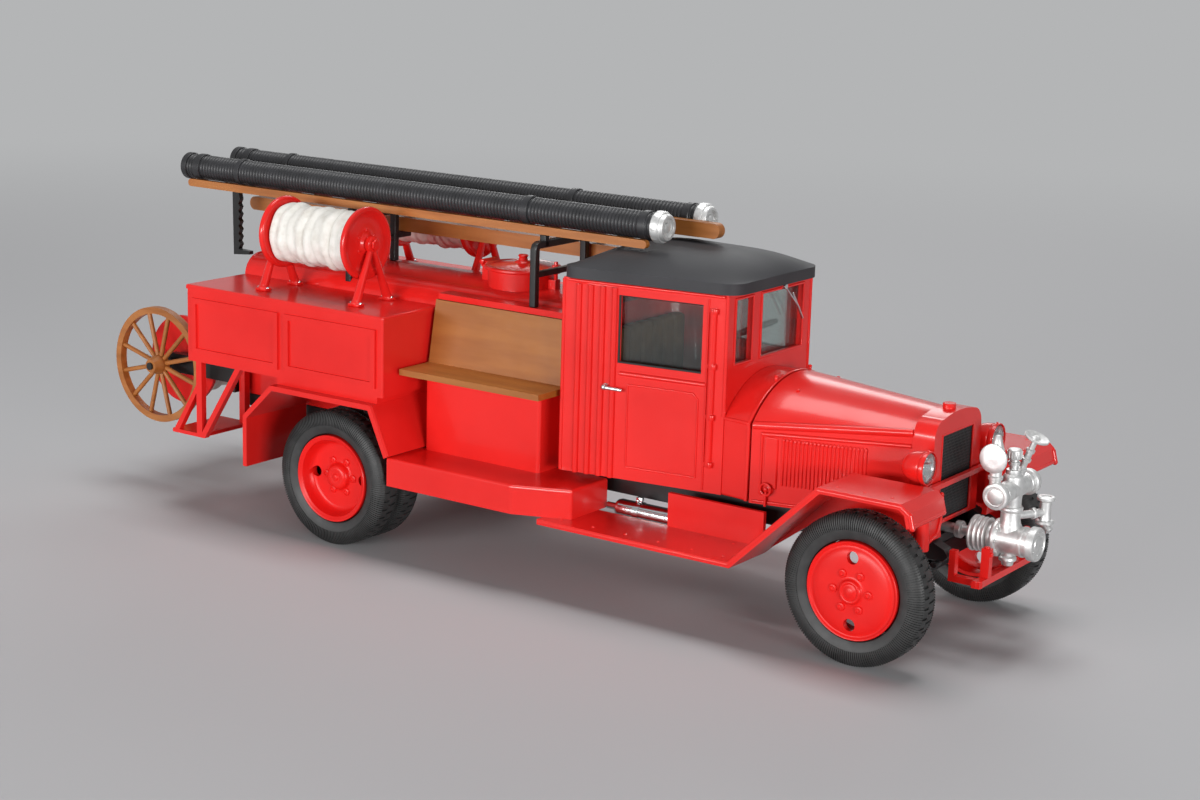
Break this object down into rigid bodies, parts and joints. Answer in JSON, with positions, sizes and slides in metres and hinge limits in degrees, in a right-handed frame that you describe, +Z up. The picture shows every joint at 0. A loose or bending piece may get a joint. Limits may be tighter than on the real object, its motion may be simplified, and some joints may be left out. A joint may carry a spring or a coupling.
{
  "type": "scale model fire engine",
  "caption": "Die-cast style model of an open-benched 1930s fire engine with cab, front pump, hose reels, roof ladder and a two-wheeled hose cart at the back.",
  "frame": {"origin": "on the ground under the middle of the whole model's length and width", "axes": "+X forward along the vehicle, +Y to its left, +Z up"},
  "size_m": [0.1606, 0.0466, 0.0549],
  "materials": {
    "red_paint": "gloss enamel",
    "roof_paint": "satin, fabric-like grain",
    "black_paint": "semi-gloss enamel",
    "tyre_rubber": "matt with fine ribs",
    "hose_rubber": "satin, ribbed",
    "reel_hose": "matt woven canvas",
    "ochre_wood": "satin, moulded as wood",
    "bench_plastic": "satin, moulded as boards",
    "bright_metal": "bright plated",
    "steel": "bright ground",
    "glazing": "clear",
    "lamp_glass": "clear",
    "dark_plastic": "matt moulded",
    "seat_brown": "matt moulded"
  },
  "bodies": {
    "vehicle": {"bench_boxes": "red_paint", "bench_seats": "bench_plastic", "bonnet": "red_paint", "cab_glazing": "glazing", "cab_roof": "roof_paint", "cab_seat": "seat_brown", "cab_shell": "red_paint", "cart_carrier": "black_paint", "chassis_frame": "black_paint", "dashboard": "seat_brown", "door_handles": "bright_metal", "drive_shaft": "black_paint", "engine_and_gearbox": "black_paint", "filler_hatch": "red_paint", "folded_pole": "ochre_wood", "folding_stick": "ochre_wood", "front_axle_beam": "black_paint", "front_guards_and_boards": "red_paint", "front_rack": "black_paint", "front_springs": "black_paint", "headlamp_bar": "red_paint", "headlamp_bowls": "red_paint", "headlamp_lenses": "lamp_glass", "hook_ladder": "ochre_wood", "ladder_hook": "black_paint", "lockers": "red_paint", "pump_body": "bright_metal", "pump_carrier": "red_paint", "pump_valves": "bright_metal", "radiator_core": "dark_plastic", "radiator_shell": "red_paint", "rear_axle_case": "black_paint", "rear_guards": "red_paint", "rear_rack": "black_paint", "rear_springs": "black_paint", "rear_treads": "red_paint", "reel_stands": "red_paint", "side_steps": "red_paint", "silencer": "bright_metal", "steering_wheel": "dark_plastic", "suction_couplings": "bright_metal", "suction_hoses": "hose_rubber", "water_tank": "red_paint"},
    "front_wheelset": {"front_wheel_discs": "red_paint", "front_tyres": "tyre_rubber", "front_axle_rod": "steel"},
    "rear_wheelset": {"rear_wheel_discs": "red_paint", "rear_tyres": "tyre_rubber", "rear_axle_rod": "steel"},
    "cart_wheelset": {"cart_wheels": "ochre_wood", "cart_axle": "black_paint", "cart_drum": "red_paint", "cart_hose": "reel_hose"},
    "left_reel": {"reel_drum_left": "red_paint", "reel_hose_left": "reel_hose"},
    "right_reel": {"reel_drum_right": "red_paint", "reel_hose_right": "reel_hose"}
  },
  "joints": [
    {"name": "front_wheels_roll", "type": "hinge", "parent": "vehicle", "child": "front_wheelset", "pos_m": [0.06305, 0, 0.0105], "axis": [0, 1, 0], "continuous": true},
    {"name": "rear_wheels_roll", "type": "hinge", "parent": "vehicle", "child": "rear_wheelset", "pos_m": [-0.02555, 0, 0.0105], "axis": [0, 1, 0], "continuous": true},
    {"name": "cart_wheels_roll", "type": "hinge", "parent": "vehicle", "child": "cart_wheelset", "pos_m": [-0.07065, 0, 0.02035], "axis": [0, 1, 0], "continuous": true},
    {"name": "left_reel_turn", "type": "hinge", "parent": "vehicle", "child": "left_reel", "pos_m": [-0.03405, 0.0142, 0.0457], "axis": [1, 0, 0], "continuous": true},
    {"name": "right_reel_turn", "type": "hinge", "parent": "vehicle", "child": "right_reel", "pos_m": [-0.03405, -0.0142, 0.0457], "axis": [1, 0, 0], "continuous": true}
  ]
}
